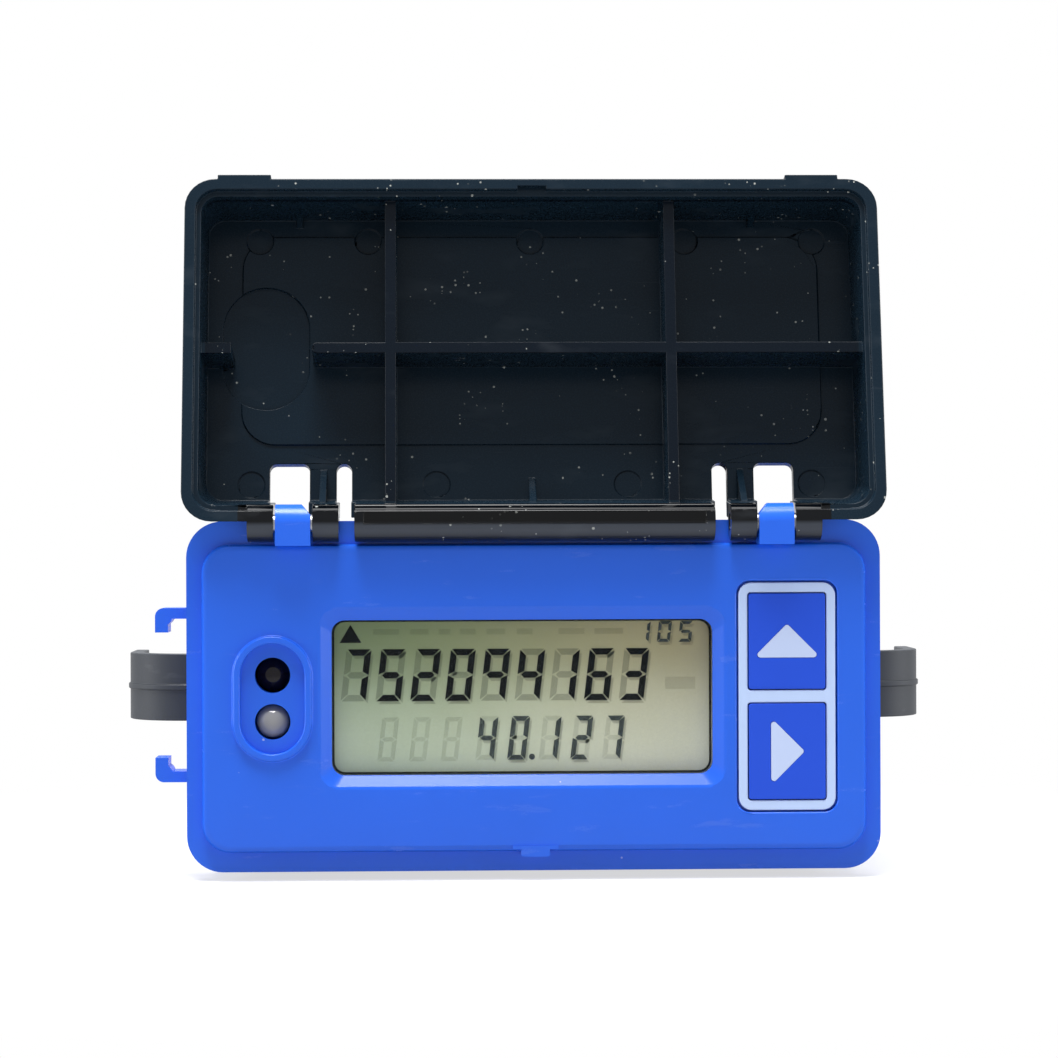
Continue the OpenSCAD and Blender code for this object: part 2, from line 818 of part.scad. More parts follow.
module lid_shell() {
    difference() {
        union() {
            lid_outer();
            // Finger lips on the free edge
            for (x = [lip_left_in - front_w / 2, front_w / 2 - lip_right_in])
                box_at(x - lip_w / 2, lid_rim_y - lip_depth, lid_low - lip_rise, lip_w, lip_depth,
                       lip_rise + lid_wall / 2);
        }
        lid_hollow();
        // Notch that the catch tab clicks into
        box_at(-catch_w / 2, lid_rim_y - lid_step_d, lid_low + lid_wall - catch_bar_h, catch_w,
               lid_step_d + cut, catch_bar_h + cut);
    }
}

module lid_closed() {
    difference() {
        union() {
            difference() {
                union() {
                    lid_shell();
                    lid_field();
                }
                lid_lobe();
                lid_marks();
            }
            lid_ribs();
            rod_x(barrel_r, -barrel_half, 2 * barrel_half, axis_y, axis_z);
            for (x = [inner_knuckle_x, outer_knuckle_x, -inner_knuckle_x - knuckle_w,
                      -outer_knuckle_x - knuckle_w])
                rod_x(barrel_r, x, knuckle_w, axis_y, axis_z);
        }
        lid_windows();
        for (i = [0, 1]) mirror([i, 0, 0])
            rod_x(pin_r, inner_knuckle_x - cut,
                  outer_knuckle_x + knuckle_w - pin_end_wall - inner_knuckle_x + cut, axis_y,
                  axis_z);
    }
}

module lid() {
    color(black) difference() {
        translate([0, axis_y, axis_z]) rotate([-lid_open, 0, 0])
            translate([0, -axis_y, -axis_z]) lid_closed();
        // Groove along the barrel, at the front when the lid is open
        box_at(groove_end - barrel_half, axis_y - barrel_r - cut, axis_z - groove_low,
               2 * (barrel_half - groove_end), groove_d + cut, groove_h);
    }
}

module hinge_pins() {
    len = outer_knuckle_x + knuckle_w - pin_end_wall - inner_knuckle_x - gap;
    color(steel) for (i = [0, 1]) mirror([i, 0, 0])
        rod_x(pin_r, inner_knuckle_x + gap / 2, len, axis_y, axis_z);
}

// Display

module display_window() {
    color([0.8, 0.85, 0.85, 0.4])
        slab(window_w + 2 * window_lap, window_h + 2 * window_lap, window_r, window_y, window_t,
             window_x, window_z);
}

module display_glass() {
    color([0.62, 0.66, 0.53]) slab(lcd_w, lcd_h, window_lap / 2, lcd_y, lcd_t, window_x, window_z);
}

module display_reflector() {
    color([0.9, 0.9, 0.88])
        slab(lcd_w, lcd_h - 4 * strip_t, window_lap / 2, reflector_y, reflector_t, window_x,
             window_z);
}

module display_frame() {
    front = window_y + window_t;
    side = lcd_frame_wall + gap / 2;
    color([0.9, 0.9, 0.92]) {
        difference() {
            slab(lcd_w + 2 * side, lcd_h + 2 * side, window_lap, front, board_y - front, window_x,
                 window_z);
            slab(lcd_w + gap, lcd_h + gap, window_lap / 2, front - cut, board_y - front + 2 * cut,
                 window_x, window_z);
        }
        // Stops that hold the reflector against the glass
        for (i = [-1, 1])
            slab(2 * strip_t, lcd_h - 6 * strip_t, window_lap / 2, reflector_y + reflector_t,
                 strip_t, window_x + i * (lcd_w / 2 - strip_t / 2), window_z);
    }
}

module contact_strips() {
    color([0.85, 0.4, 0.5]) for (j = [-1, 1])
        box_at(window_x - lcd_w / 2 + strip_t, reflector_y,
               window_z + j * (lcd_h / 2 - strip_t) - strip_t / 2, lcd_w - 2 * strip_t,
               board_y - reflector_y, strip_t);
}

// Keypad

module key_frame() {
    color(pale) difference() {
        slab(keypad_w, keypad_h, keypad_r, face_y, keypad_t, keypad_x, keypad_z);
        translate([keypad_x, 0, keypad_z]) at_keys()
            slab(key_w + 2 * key_gap, key_h + 2 * key_gap, key_r, face_y - cut,
                 keypad_t + 2 * cut, 0, 0);
    }
}

// Key cap with its stem; the children are the arrow that is let into it
module key_cap(z) {
    color(key_blue) translate([keypad_x, 0, keypad_z + z]) difference() {
        union() {
            slab(key_w, key_h, key_r, face_y - key_proud, key_t, 0, 0);
            rod_y(stem_r, face_y, stem_end_y - face_y, 0, 0);
        }
        from_front(face_y - key_proud - cut, arrow_t + cut) children();
    }
}

module key_arrow(z) {
    color(pale) translate([keypad_x, 0, keypad_z + z])
        from_front(face_y - key_proud, arrow_t) children();
}

module up_shape(grow) {
    arrow_shape(arrow_w + grow, arrow_h + grow, arrow_round);
}

module right_shape(grow) {
    rotate(-90) arrow_shape(arrow_w + grow, arrow_h + grow, arrow_round);
}

module key_up() {
    key_cap(key_pitch / 2) up_shape(2 * inlay_gap);
}

module key_right() {
    key_cap(-key_pitch / 2) right_shape(2 * inlay_gap);
}

module arrow_up() {
    key_arrow(key_pitch / 2) up_shape(0);
}

module arrow_right() {
    key_arrow(-key_pitch / 2) right_shape(0);
}

module tact_switches() {
    color([0.2, 0.2, 0.2]) translate([keypad_x, 0, keypad_z]) at_keys() {
        slab(switch_w, switch_w, gap, board_y - switch_t, switch_t, 0, 0);
        rod_y(plunger_r, board_y - switch_t - plunger_h, plunger_h + switch_t / 2, 0, 0);
    }
}

// Optical port: a lens with a round nose, a collar and two legs to the board
module lens(z, sink) {
    r = port_hole_r - led_gap;
    centre_y = face_y + sink + r;
    collar_y = centre_y + led_len;
    translate([port_x, 0, z]) {
        translate([0, centre_y, 0]) sphere(r);
        rod_y(r, centre_y, led_len, 0, 0);
        rod_y(led_flange_r, collar_y - led_flange_t, led_flange_t, 0, 0);
        for (i = [-1, 1]) rod_y(leg_r, centre_y, board_y - centre_y, i * leg_pitch / 2, 0);
    }
}

module optical_emitter() {
    color([0.85, 0.87, 0.9, 0.6]) lens(port_z - port_pitch / 2, emitter_sink);
}

module optical_receiver() {
    color([0.05, 0.05, 0.06]) lens(port_z + port_pitch / 2, receiver_sink);
}

// Electronics

module main_board() {
    color(green) difference() {
        slab(board_w, board_h, board_r, board_y, board_t, 0, case_z);
        for (i = [-1, 1], j = [-1, 1])
            from_front(board_y - cut, board_t + 2 * cut, i * board_w / 2, case_z + j * board_h / 2)
                square(2 * board_notch, center = true);
        at_posts() rod_y(board_screw_r + gap / 2, board_y - cut, board_t + 2 * cut, 0, 0);
    }
}

module board_screws() {
    color(steel) at_posts() {
        rod_y(board_screw_r, board_y - board_grip + gap,
              board_grip + board_t + board_head_t / 2 - gap, 0, 0);
        rod_y(board_head_r, board_y + board_t, board_head_t, 0, 0);
    }
}

module processor() {
    color([0.08, 0.08, 0.08])
        slab(chip_w, chip_w, gap, board_back_y, chip_t, chip_x, upper_z);
}

module timing_chip() {
    color([0.1, 0.1, 0.1]) slab(tdc_w, tdc_w, gap, board_back_y, chip_t, tdc_x, upper_z);
}

module crystals() {
    color(steel) for (i = [0, 1])
        translate([crystal_x, board_back_y + crystal_r, upper_z + i * 2 * chip_t - crystal_len / 2])
            cylinder(r = crystal_r, h = crystal_len / 2 + i * crystal_r);
}

module capacitors() {
    color([0.75, 0.6, 0.4]) for (i = [0:cap_count - 1])
        box_at(tdc_x - tdc_w / 2 + i * cap_pitch, board_back_y, upper_z + tdc_w / 2 + cap_w, cap_w,
               cap_h, cap_h);
}

module terminal_block() {
    color([0.25, 0.55, 0.3]) difference() {
        slab(terminal_w, terminal_h, gap, board_back_y, terminal_t, terminal_x, upper_z - gap);
        for (i = [0:terminal_count - 1])
            translate([terminal_x + (i + 0.5) * terminal_pitch - terminal_w / 2,
                       board_back_y + terminal_t / 2, upper_z - gap + terminal_h / 4])
                cylinder(r = terminal_hole_r, h = terminal_h);
    }
}

// Battery

module battery() {
    color([0.2, 0.5, 0.35]) {
        rod_x(battery_r, battery_x - battery_len / 2, battery_len - battery_cap_t, battery_y,
              battery_z);
        rod_x(battery_cap_r, battery_x, battery_len / 2, battery_y, battery_z);
    }
}

// Pad between the board and the battery, above the board's lower screws
module battery_pad() {
    low = wall + post_in + board_head_r + gap;
    high = battery_z + battery_r / 2;
    color([0.15, 0.15, 0.16])
        slab(2 * saddle_x, high - low, pad_edge_r, board_back_y,
             battery_y - battery_r - board_back_y, battery_x, (low + high) / 2);
}

// Two wires from the battery's end up to the plug
module battery_lead() {
    end_x = battery_x - battery_len / 2;
    run_x = end_x - lead_bend;
    color([0.7, 0.1, 0.1]) for (i = [0, 1]) translate([0, lead_y - i * lead_pitch, 0]) {
        translate([end_x, 0, battery_z + lead_bend]) rotate([90, 0, 0]) rotate([0, 0, 180])
            rotate_extrude(angle = 90) translate([lead_bend, 0]) circle(lead_r);
        translate([run_x, 0, battery_z + lead_bend])
            cylinder(r = lead_r, h = plug_z - battery_z - 2 * lead_bend);
        translate([end_x, 0, plug_z - lead_bend]) rotate([90, 0, 0]) rotate([0, 0, 90])
            rotate_extrude(angle = 90) translate([lead_bend, 0]) circle(lead_r);
    }
}

module battery_plug() {
    color([0.92, 0.92, 0.88])
        slab(plug_w, plug_h, gap, board_back_y, plug_t,
             battery_x - battery_len / 2 + plug_w / 2, plug_z);
}

// Cable gland

module gland_body() {
    color([0.12, 0.12, 0.13]) translate([gland_x, gland_y, case_h]) difference() {
        union() {
            translate([0, 0, -wall - gland_tail])
                cylinder(r = gland_r, h = wall + gland_tail + gland_hex_t + gland_nut_h / 2);
            cylinder(r = gland_hex_r, h = gland_hex_t, $fn = 6);
        }
        translate([0, 0, -wall - gland_tail - cut])
            cylinder(r = gland_bore_r, h = case_depth);
    }
}

module gland_seal() {
    color([0.2, 0.2, 0.2]) translate([gland_x, gland_y, case_h - wall]) difference() {
        cylinder(r = gland_bore_r - thread_gap, h = wall + gland_hex_t + gland_nut_h / 2);
        translate([0, 0, -cut]) cylinder(r = cable_r, h = case_depth);
    }
}

module gland_nut() {
    color([0.12, 0.12, 0.13]) translate([gland_x, gland_y, case_h + gland_hex_t]) difference() {
        union() {
            cylinder(r = gland_nut_r, h = gland_nut_h / 2, $fn = 6);
            rotate_extrude() polygon([[0, 0], [gland_nut_r * cos(30), 0],
                [gland_nut_r * cos(30), gland_nut_h * gland_cone_share],
                [gland_bore_r + gland_rim, gland_nut_h],
                [0, gland_nut_h]]);
        }
        translate([0, 0, -cut])
            cylinder(r = gland_r + thread_gap, h = gland_nut_h / 2 + gap + cut);
        cylinder(r = cable_r + gap, h = case_depth);
    }
}

module gland_locknut() {
    color(steel) translate([gland_x, gland_y, case_h - wall - locknut_t]) difference() {
        cylinder(r = gland_hex_r, h = locknut_t, $fn = 6);
        translate([0, 0, -cut]) cylinder(r = gland_r + thread_gap, h = locknut_t + 2 * cut);
    }
}

// Bow behind the housing

// Flat U in X and Y, open at the back, with its front edge at Y zero
module bow_outline(w, d, r) {
    translate([-w / 2 + r, 0]) square([w - 2 * r, d]);
    translate([-w / 2, r]) square([w, d - r]);
    for (i = [-1, 1]) translate([i * (w / 2 - r), r]) circle(r);
}

module mounting_bow() {
    color(black) difference() {
        union() {
            translate([0, bow_y, bow_z - bow_h / 2]) linear_extrude(bow_h) difference() {
                bow_outline(bow_w, bow_depth, bow_r);
                translate([0, bow_t]) bow_outline(bow_w - 2 * bow_t, bow_depth, bow_in_r);
            }
            // Moulding seam round the outside
            translate([0, bow_y, bow_z - bow_seam_h / 2]) linear_extrude(bow_seam_h) difference() {
                translate([0, -bow_seam])
                    bow_outline(bow_w + 2 * bow_seam, bow_depth + bow_seam, bow_r + bow_seam);
                translate([0, bow_t]) bow_outline(bow_w - 2 * bow_t, bow_depth, bow_in_r);
            }
        }
        for (i = [-1, 1])
            rod_y(bow_hole_r, bow_y - cut, bow_t + 2 * cut, i * bow_screw_x, bow_z);
        // Strap slots near the ends of the legs
        box_at(-bow_w, bow_y + bow_depth - bow_slot_in - bow_slot_h, bow_z - bow_slot_w / 2,
               2 * bow_w, bow_slot_h, bow_slot_w);
    }
}

module bow_screws() {
    color(steel) for (i = [-1, 1]) translate([i * bow_screw_x, 0, bow_z]) {
        rod_y(screw_r, back_wall_y - wall / 2 + gap,
              bow_y + bow_t + bow_head_t / 2 - back_wall_y + wall / 2 - gap, 0, 0);
        rod_y(bow_head_r, bow_y + bow_t, bow_head_t, 0, 0);
    }
}

front_housing();
rear_housing();
housing_seal();
housing_screws();
lid();
hinge_pins();
display_window();
display_glass();
display_reflector();
display_frame();
contact_strips();
key_frame();
key_up();
key_right();
arrow_up();
arrow_right();
tact_switches();
optical_emitter();
optical_receiver();
main_board();
board_screws();
processor();
timing_chip();
crystals();
capacitors();
battery();
battery_pad();
battery_lead();
battery_plug();
terminal_block();
gland_body();
gland_seal();
gland_nut();
gland_locknut();
mounting_bow();
bow_screws();
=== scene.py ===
# Ultrasonic flow meter head with its black lid open, seen straight from the front
import math
import bmesh
import bpy
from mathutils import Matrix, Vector


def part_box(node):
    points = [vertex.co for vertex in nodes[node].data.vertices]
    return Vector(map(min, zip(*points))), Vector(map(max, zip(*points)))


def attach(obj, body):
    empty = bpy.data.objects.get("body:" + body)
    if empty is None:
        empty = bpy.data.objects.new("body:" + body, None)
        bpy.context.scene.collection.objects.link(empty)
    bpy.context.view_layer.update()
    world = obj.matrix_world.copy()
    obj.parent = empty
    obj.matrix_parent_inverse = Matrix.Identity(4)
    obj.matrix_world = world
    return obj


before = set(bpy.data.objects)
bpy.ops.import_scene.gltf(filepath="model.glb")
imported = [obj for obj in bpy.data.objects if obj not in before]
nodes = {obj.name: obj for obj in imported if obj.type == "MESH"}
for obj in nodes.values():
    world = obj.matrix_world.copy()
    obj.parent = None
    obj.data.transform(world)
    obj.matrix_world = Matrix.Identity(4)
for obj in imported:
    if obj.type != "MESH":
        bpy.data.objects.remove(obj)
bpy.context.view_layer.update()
scene = bpy.context.scene
mm = 0.001
print("frame loaded")


# Wraps one output socket, so that formulas can be written with + - * / < and >
class Wire:
    def __init__(self, tree, socket):
        self.tree = tree
        self.socket = socket

    def math(self, kind, other=0.0):
        made = self.tree.nodes.new("ShaderNodeMath")
        made.operation = kind
        plug(self.tree, made.inputs[0], self)
        plug(self.tree, made.inputs[1], other)
        return Wire(self.tree, made.outputs[0])

    def __add__(self, other):
        return self.math("ADD", other)

    def __radd__(self, other):
        return self.math("ADD", other)

    def __sub__(self, other):
        return self.math("SUBTRACT", other)

    def __rsub__(self, other):
        return (self * -1.0) + other

    def __mul__(self, other):
        return self.math("MULTIPLY", other)

    def __rmul__(self, other):
        return self.math("MULTIPLY", other)

    def __truediv__(self, other):
        return self.math("DIVIDE", other)

    def __gt__(self, other):
        return self.math("GREATER_THAN", other)

    def __lt__(self, other):
        return self.math("LESS_THAN", other)

    # 0 below low, 1 above high, and a smooth step between them
    def step(self, low, high):
        made = self.tree.nodes.new("ShaderNodeMapRange")
        made.interpolation_type = "SMOOTHSTEP"
        plug(self.tree, made.inputs["Value"], self)
        plug(self.tree, made.inputs["From Min"], low)
        plug(self.tree, made.inputs["From Max"], high)
        return Wire(self.tree, made.outputs["Result"])


def plug(tree, target, value):
    if isinstance(value, Wire):
        tree.links.new(value.socket, target)
    elif value is not None:
        target.default_value = value


# A node material around one Principled BSDF
class Paint:
    def __init__(self, name, **constants):
        self.material = bpy.data.materials.new(name)
        self.material.use_nodes = True
        self.tree = self.material.node_tree
        self.tree.nodes.clear()
        self.shader = self.tree.nodes.new("ShaderNodeBsdfPrincipled")
        self.output = self.tree.nodes.new("ShaderNodeOutputMaterial")
        self.tree.links.new(self.shader.outputs[0], self.output.inputs["Surface"])
        self.set(**constants)

    # Values by socket name, with _ for a space
    def set(self, **values):
        for key, value in values.items():
            plug(self.tree, self.shader.inputs[key.replace("_", " ")], value)
        return self

    # Any node from its type, settings and inputs
    def add(self, kind, out, settings=None, **inputs):
        made = self.tree.nodes.new(kind)
        for key, value in (settings or {}).items():
            setattr(made, key, value)
        for key, value in inputs.items():
            plug(self.tree, made.inputs[key.replace("_", " ")], value)
        return Wire(self.tree, made.outputs[out])

    def place(self):
        return self.add("ShaderNodeTexCoord", "Object")

    # The three coordinates in millimetres
    def axes(self):
        split = self.tree.nodes.new("ShaderNodeSeparateXYZ")
        plug(self.tree, split.inputs[0], self.place())
        return [Wire(self.tree, split.outputs[i]) / mm for i in range(3)]

    # Place with each axis scaled, for streaks and thin marks
    def scaled(self, factors):
        made = self.tree.nodes.new("ShaderNodeVectorMath")
        made.operation = "MULTIPLY"
        plug(self.tree, made.inputs[0], self.place())
        made.inputs[1].default_value = factors
        return Wire(self.tree, made.outputs[0])

    # Noise with features of about that many millimetres
    def noise(self, size, detail=3.0, where=None):
        return self.add("ShaderNodeTexNoise", "Fac", Vector=where or self.place(),
                        Scale=1 / (size * mm), Detail=detail)

    def mix(self, factor, first, second):
        made = self.tree.nodes.new("ShaderNodeMix")
        made.data_type = "RGBA"
        plug(self.tree, made.inputs[0], factor)
        plug(self.tree, made.inputs[6], first)
        plug(self.tree, made.inputs[7], second)
        return Wire(self.tree, made.outputs[2])

    def bump(self, height, depth):
        return self.add("ShaderNodeBump", "Normal", Height=height, Distance=depth * mm)

    # Round specks: cells of that many millimetres, a share of them filled, up to that radius
    def specks(self, cell, share, radius):
        texture = self.tree.nodes.new("ShaderNodeTexVoronoi")
        plug(self.tree, texture.inputs["Vector"], self.place())
        texture.inputs["Scale"].default_value = 1 / (cell * mm)
        pick = self.tree.nodes.new("ShaderNodeSeparateColor")
        self.tree.links.new(texture.outputs["Color"], pick.inputs[0])
        chosen = Wire(self.tree, pick.outputs[0]) < share
        size = Wire(self.tree, pick.outputs[1]) * (radius / cell) + 0.3 * radius / cell
        return (Wire(self.tree, texture.outputs["Distance"]) < size) * chosen


# From the 0 to 255 values of a screen to linear light
def colour(red, green, blue):
    def line(value):
        value /= 255
        return value / 12.92 if value <= 0.04045 else ((value + 0.055) / 1.055) ** 2.4
    return (line(red), line(green), line(blue), 1.0)


# A moulded plastic: colour with slight unevenness, satin sheen, fine grain and a few scuffs
def plastic(name, base, roughness, grain, uneven=0.06, scuffs=0.0, sheen=0.5, dust=0.0):
    paint = Paint(name, IOR=1.5, Specular_IOR_Level=sheen)
    cloud = paint.noise(14.0, 2.0)
    fine = paint.noise(0.16, 2.0)
    light = tuple(min(1.0, part * (1 + uneven)) for part in base[:3]) + (1.0,)
    dark = tuple(part * (1 - uneven) for part in base[:3]) + (1.0,)
    rubbed = paint.noise(3.0, 4.0, paint.scaled((0.35, 1.0, 1.6))).step(0.62, 0.78) * scuffs
    tint = paint.mix(cloud, dark, light)
    if dust:
        tint = paint.mix(paint.specks(1.7, 0.05, 0.2) * dust, tint, (0.75, 0.78, 0.8, 1.0))
    paint.set(Base_Color=paint.mix(rubbed * 0.10, tint, (0.5, 0.5, 0.5, 1.0)),
              Roughness=roughness + (fine - 0.5) * 0.10 + rubbed * 0.15,
              Normal=paint.bump(fine, grain))
    return paint.material


def metal(name, base, roughness):
    paint = Paint(name, Metallic=1.0)
    streak = paint.noise(0.5, 2.0, paint.scaled((1.0, 1.0, 6.0)))
    paint.set(Base_Color=base, Roughness=roughness + (streak - 0.5) * 0.2,
              Normal=paint.bump(streak, 0.005))
    return paint.material


def wear(obj, material):
    obj.data.materials.clear()
    obj.data.materials.append(material)


housingBlue = plastic("housingBlue", colour(33, 96, 219), 0.25, 0.008, 0.05, 0.5, 0.3, 0.35)
bowBlack = plastic("bowBlack", colour(46, 50, 56), 0.5, 0.015, scuffs=0.5, sheen=0.3)
glandBlack = plastic("glandBlack", colour(34, 35, 37), 0.45, 0.012)
rubber = plastic("rubber", colour(28, 28, 29), 0.75, 0.02)
framePale = plastic("framePale", colour(184, 204, 240), 0.4, 0.006, 0.03, sheen=0.25)
arrowPale = plastic("arrowPale", colour(188, 203, 236), 0.4, 0.006, 0.03, sheen=0.25)
keyBlue = plastic("keyBlue", colour(34, 78, 206), 0.36, 0.006, 0.04, sheen=0.2)
white = plastic("white", colour(232, 232, 228), 0.45, 0.006, 0.02)
black = plastic("componentBlack", colour(26, 26, 26), 0.55, 0.01)
steel = metal("steel", colour(190, 192, 196), 0.32)

pinLow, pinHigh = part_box("hinge_pins")
pinY = (pinLow.y + pinHigh.y) / 2 / mm
pinZ = (pinLow.z + pinHigh.z) / 2 / mm
lidLean = math.radians(12)
# Millimetres: the hinge barrel and its reach to each side, and where the rib tips lie
barrel = dict(radius=2.6, reach=40.6)
ribs = dict(near=-0.2, far=0.6, reach=45.5, low=3.0)


# Distance behind the pins along the open lid's own normal, from the two coordinates
def behindPins(y, z):
    return (y - pinY) * math.cos(lidLean) - (z - pinZ) * math.sin(lidLean)


# The lid's black plastic: bluish satin with dust, some of it in swarms, hair scuffs and smears
def lidPaint():
    paint = Paint("lidBlack", IOR=1.5, Specular_IOR_Level=0.11, Coat_Roughness=0.07)
    x, y, z = paint.axes()
    fromPin = ((y - pinY) * (y - pinY) + (z - pinZ) * (z - pinZ)).math("SQRT")
    side = x.math("ABSOLUTE")
    skin = barrel["radius"]
    polish = fromPin.step(skin + 0.35, skin + 0.1) * (side < barrel["reach"])
    fine = paint.noise(0.2, 2.0)
    cloud = paint.noise(16.0, 3.0)
    smear = paint.noise(5.0, 5.0, paint.scaled((0.5, 1.0, 1.2))).step(0.55, 0.8)
    hairs = paint.noise(1.6, 3.0, paint.scaled((0.12, 1.0, 3.2))).step(0.70, 0.76) * 0.25
    dust = paint.specks(1.3, 0.10, 0.16).math("MAXIMUM", paint.specks(0.9, 0.06, 0.10))
    swarm = paint.specks(0.6, 0.35, 0.14) * paint.noise(7.0, 2.0).step(0.60, 0.66)
    dust = dust.math("MAXIMUM", swarm)
    base = paint.mix(cloud, colour(12, 26, 37), colour(18, 34, 46))
    # Painted shade: the rib tips catch more of the light, so their colour is darkened to look as
    # quiet as the panel
    behind = behindPins(y, z)
    tips = (behind > ribs["near"]) * (behind < ribs["far"])
    tips = tips * (side < ribs["reach"]) * (z > pinZ + ribs["low"])
    base = paint.mix(tips, base, colour(5, 14, 24))
    # The barrel is black and polished, with a painted highlight along its lower front: a lighter
    # grey strip that stands in for a reflection
    strip = (z - pinZ).step(-2.5, -1.0) * (z - pinZ).step(0.3, -0.5) * (y < pinY)
    base = paint.mix(polish, base, paint.mix(strip, colour(3, 5, 9), colour(62, 67, 76)))
    base = paint.mix(smear * 0.03 + hairs * 0.06, base, (0.45, 0.5, 0.55, 1.0))
    paint.set(Base_Color=paint.mix(dust * 0.5, base, (0.6, 0.62, 0.58, 1.0)),
              Roughness=0.27 + (fine - 0.5) * 0.08 + smear * 0.14 + hairs * 0.2 - polish * 0.2,
              Coat_Weight=polish * 0.12, Normal=paint.bump(fine - polish * fine, 0.010))
    return paint.material


# Clear sheets and lenses: see-through by alpha with a glossy skin
def clear(name, base, alpha, roughness, sheen=0.5):
    paint = Paint(name, IOR=1.5, Base_Color=base, Specular_IOR_Level=sheen)
    dust = paint.specks(4.0, 0.12, 0.08)
    smear = paint.noise(6.0, 4.0).step(0.5, 0.8)
    paint.set(Roughness=roughness + smear * 0.05, Alpha=alpha + dust * 0.3)
    return paint.material


windowClear = clear("windowClear", (0.3, 0.33, 0.33, 1.0), 0.02, 0.03, 0.2)
lensClear = clear("lensClear", (0.27, 0.27, 0.28, 1.0), 0.85, 0.05)
lensDark = Paint("lensDark", Specular_IOR_Level=0.2, Roughness=0.06)
lensDark.set(Base_Color=lensDark.mix(lensDark.noise(1.0), colour(8, 7, 12), colour(22, 16, 26)))
lidBlack = lidPaint()
print("materials made")

windowLow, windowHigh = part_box("display_window")
glassLow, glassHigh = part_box("display_glass")
glassX = (glassLow.x + glassHigh.x) / 2 / mm
glassZ = (glassLow.z + glassHigh.z) / 2 / mm
glassW = (glassHigh.x - glassLow.x) / mm
glassH = (glassHigh.z - glassLow.z) / mm


# Display glass: olive at the top left, brownish at the top right, pale grey-green below
def glassPaint():
    paint = Paint("lcdGlass", IOR=1.5)
    x, y, z = paint.axes()
    across = (x - (glassX - glassW / 2)) / glassW
    up = (z - (glassZ - glassH / 2)) / glassH
    cloud = paint.noise(9.0, 2.0)
    top = paint.mix(across.step(0.0, 1.0), colour(108, 129, 80), colour(164, 154, 110))
    low = paint.mix(across.step(0.1, 0.9), colour(180, 195, 166), colour(206, 208, 182))
    tint = paint.mix((up + (cloud - 0.5) * 0.15).step(0.15, 0.95), low, top)
    grain = paint.noise(0.25, 1.0)
    paint.set(Base_Color=paint.mix((grain - 0.5) * 0.2 + 0.1, tint, colour(120, 126, 104)),
              Roughness=0.38)
    return paint.material


lcdGlass = glassPaint()

looks = {
    "front_housing": (housingBlue, "housing_blue"), "rear_housing": (housingBlue, "housing_blue"),
    "housing_seal": (rubber, "seal_rubber"), "housing_screws": (steel, "steel"),
    "lid": (lidBlack, "lid_black"), "hinge_pins": (steel, "steel"),
    "display_window": (windowClear, "window_clear"), "display_glass": (lcdGlass, "lcd_glass"),
    "display_reflector": (white, "reflector_white"), "display_frame": (white, "frame_white"),
    "contact_strips": (plastic("contactRubber", colour(222, 150, 165), 0.6, 0.01),
                       "contact_rubber"),
    "key_frame": (framePale, "frame_pale"), "key_up": (keyBlue, "key_blue"),
    "key_right": (keyBlue, "key_blue"), "arrow_up": (arrowPale, "arrow_pale"),
    "arrow_right": (arrowPale, "arrow_pale"), "tact_switches": (black, "component_black"),
    "optical_emitter": (lensClear, "lens_clear"),
    "optical_receiver": (lensDark.material, "lens_dark"),
    "main_board": (plastic("boardGreen", colour(30, 110, 60), 0.35, 0.01), "board_green"),
    "board_screws": (steel, "steel"), "processor": (black, "component_black"),
    "timing_chip": (black, "component_black"), "crystals": (steel, "steel"),
    "capacitors": (plastic("ceramic", colour(190, 160, 120), 0.5, 0.01), "ceramic"),
    "battery": (plastic("batteryWrap", colour(40, 140, 90), 0.3, 0.004), "battery_wrap"),
    "battery_pad": (rubber, "seal_rubber"),
    "battery_lead": (plastic("leadRed", colour(190, 30, 30), 0.5, 0.01), "lead_red"),
    "battery_plug": (plastic("plugWhite", colour(236, 234, 226), 0.5, 0.01), "plug_white"),
    "terminal_block": (plastic("terminalGreen", colour(50, 140, 70), 0.5, 0.01),
                       "terminal_green"),
    "gland_body": (glandBlack, "gland_black"), "gland_seal": (rubber, "seal_rubber"),
    "gland_nut": (glandBlack, "gland_black"), "gland_locknut": (steel, "steel"),
    "mounting_bow": (bowBlack, "bow_black"), "bow_screws": (steel, "steel"),
}
for name, (material, slotName) in looks.items():
    wear(nodes[name], material)
print("looks given to", len(looks), "nodes")


# An empty geometry tree with its input and output nodes
def meshTree(name):
    tree = bpy.data.node_groups.new(name, "GeometryNodeTree")
    for way in ("INPUT", "OUTPUT"):
        tree.interface.new_socket("Geometry", in_out=way, socket_type="NodeSocketGeometry")
    return tree, tree.nodes.new("NodeGroupInput"), tree.nodes.new("NodeGroupOutput")


# Joins a node's split corners and shades it smooth, with sharp edges over an angle in degrees
def shadingTree(angle):
    tree, start, end = meshTree("shadeByAngle")
    drop = tree.nodes.new("GeometryNodeRemoveAttribute")
    drop.inputs["Name"].default_value = "custom_normal"
    join = tree.nodes.new("GeometryNodeMergeByDistance")
    join.inputs["Distance"].default_value = 0.002 * mm
    smooth = tree.nodes.new("GeometryNodeSetShadeSmooth")
    sharp = tree.nodes.new("GeometryNodeSetShadeSmooth")
    sharp.domain = "EDGE"
    sharp.inputs["Shade Smooth"].default_value = False
    edge = tree.nodes.new("GeometryNodeInputMeshEdgeAngle")
    steep = tree.nodes.new("ShaderNodeMath")
    steep.operation = "GREATER_THAN"
    steep.inputs[1].default_value = math.radians(angle)
    links = [(start.outputs[0], drop.inputs[0]), (drop.outputs[0], join.inputs[0]),
             (join.outputs[0], smooth.inputs[0]), (smooth.outputs[0], sharp.inputs[0]),
             (edge.outputs[0], steep.inputs[0]), (steep.outputs[0], sharp.inputs["Selection"]),
             (sharp.outputs[0], end.inputs[0])]
    for output, target in links:
        tree.links.new(output, target)
    return tree


shading = shadingTree(28)


